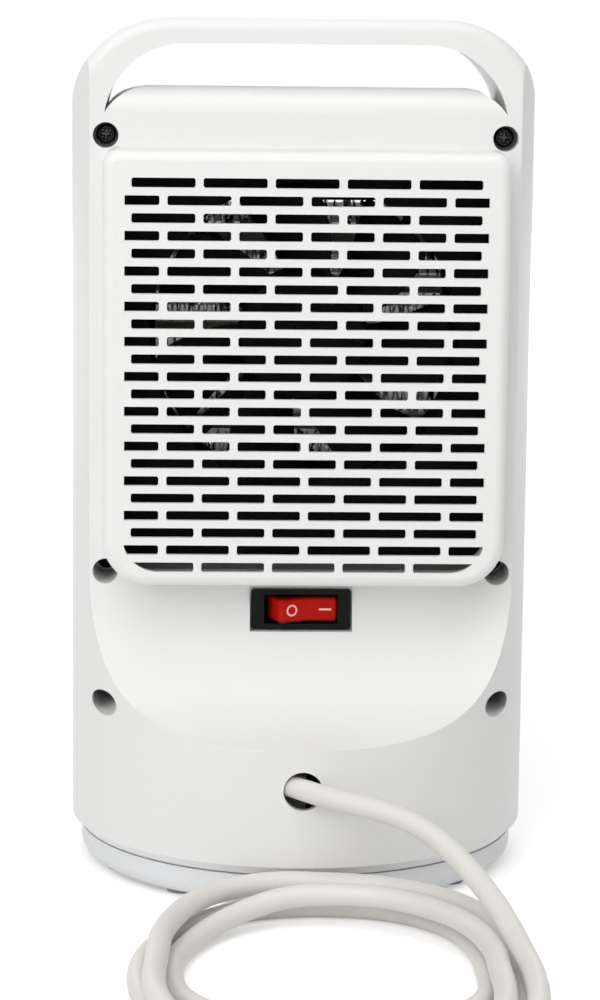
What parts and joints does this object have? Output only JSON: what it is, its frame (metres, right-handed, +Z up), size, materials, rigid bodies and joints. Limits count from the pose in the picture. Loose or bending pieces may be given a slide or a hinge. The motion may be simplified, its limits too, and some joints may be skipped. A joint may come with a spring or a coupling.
{
  "type": "portable fan heater",
  "caption": "Round-footed portable fan heater with a bow handle, square grilles, a rocker switch at the back and a swivel foot.",
  "frame": {"origin": "on the turning axis of the body, at floor level", "axes": "+Z up, +Y towards the air intake and the mains cord, the air leaves towards -Y"},
  "size_m": [0.1472, 0.4386, 0.2736],
  "materials": {
    "shell_white": "satin moulded plastic",
    "grille_white": "satin moulded plastic",
    "panel_black": "gloss",
    "button_white": "satin",
    "switch_black": "gloss",
    "rocker_red": "translucent gloss",
    "inner_black": "matt",
    "steel": "zinc plated",
    "copper": "enamelled wire",
    "heater_dark": "matt",
    "ceramic": "matt",
    "fin_aluminium": "bright rolled",
    "brass": "plain",
    "screw_black": "black oxide",
    "rim_grey": "satin",
    "foot_grey": "satin",
    "plate_grey": "matt",
    "gear_nylon": "satin",
    "pad_rubber": "matt",
    "clamp_black": "matt",
    "cord_white": "satin sheath",
    "plug_white": "satin",
    "pin_steel": "nickel plated"
  },
  "bodies": {
    "housing": {"rear_shell": "shell_white", "front_shell": "shell_white", "intake_grille": "grille_white", "outlet_grille": "grille_white", "control_panel": "panel_black", "control_board": "panel_black", "key_switches": "inner_black", "switch_housing": "switch_black", "switch_terminals": "brass", "fan_shroud": "inner_black", "motor_can": "steel", "motor_stator": "copper", "motor_bearings": "steel", "heater_frame": "heater_dark", "ceramic_bars": "ceramic", "heater_fins": "fin_aluminium", "heater_terminals": "brass", "thermal_cutout": "steel", "shell_screws": "screw_black", "shroud_screws": "steel", "bottom_cover": "rim_grey", "swing_motor": "steel", "cord_clamp": "clamp_black", "clamp_screws": "steel", "power_cord": "cord_white", "cord_loops": "cord_white", "cord_tail": "cord_white", "plug_body": "plug_white", "plug_pins": "pin_steel"},
    "fan": {"motor_shaft": "steel", "motor_rotor": "steel", "impeller": "inner_black"},
    "rocker": {"rocker": "rocker_red"},
    "power_button": {"power_button": "button_white"},
    "swing_button": {"swing_button": "button_white"},
    "timer_button": {"timer_button": "button_white"},
    "foot": {"foot_shell": "foot_grey", "foot_plate": "plate_grey", "foot_screws": "steel", "rubber_pads": "pad_rubber", "ring_gear": "gear_nylon", "gear_screws": "steel", "glide_ring": "gear_nylon"},
    "swing_pinion": {"swing_pinion": "gear_nylon"}
  },
  "joints": [
    {"name": "foot_swivel", "type": "hinge", "parent": "housing", "child": "foot", "pos_m": [0, 0, 0.011], "axis": [0, 0, 1], "range_deg": [-35, 35]},
    {"name": "pinion_spin", "type": "hinge", "parent": "housing", "child": "swing_pinion", "pos_m": [0, -0.036, 0.017], "axis": [0, 0, 1], "range_deg": [-105, 105]},
    {"name": "fan_spin", "type": "hinge", "parent": "housing", "child": "fan", "pos_m": [0, 0.01, 0.174], "axis": [0, 1, 0], "continuous": true},
    {"name": "rocker_tilt", "type": "hinge", "parent": "housing", "child": "rocker", "pos_m": [0, 0.0225, 0.0876], "axis": [0, 0, 1], "range_deg": [-24, 0]},
    {"name": "power_button_press", "type": "slide", "parent": "housing", "child": "power_button", "axis": [0, 0.1392, -0.9903], "range_m": [0, 0.0008], "stiffness_N_per_m": 800},
    {"name": "swing_button_press", "type": "slide", "parent": "housing", "child": "swing_button", "axis": [0, 0.1392, -0.9903], "range_m": [0, 0.0008], "stiffness_N_per_m": 800},
    {"name": "timer_button_press", "type": "slide", "parent": "housing", "child": "timer_button", "axis": [0, 0.1392, -0.9903], "range_m": [0, 0.0008], "stiffness_N_per_m": 800}
  ],
  "couplings": [
    {"joint": "pinion_spin", "follows": "foot_swivel", "ratio": -3}
  ]
}
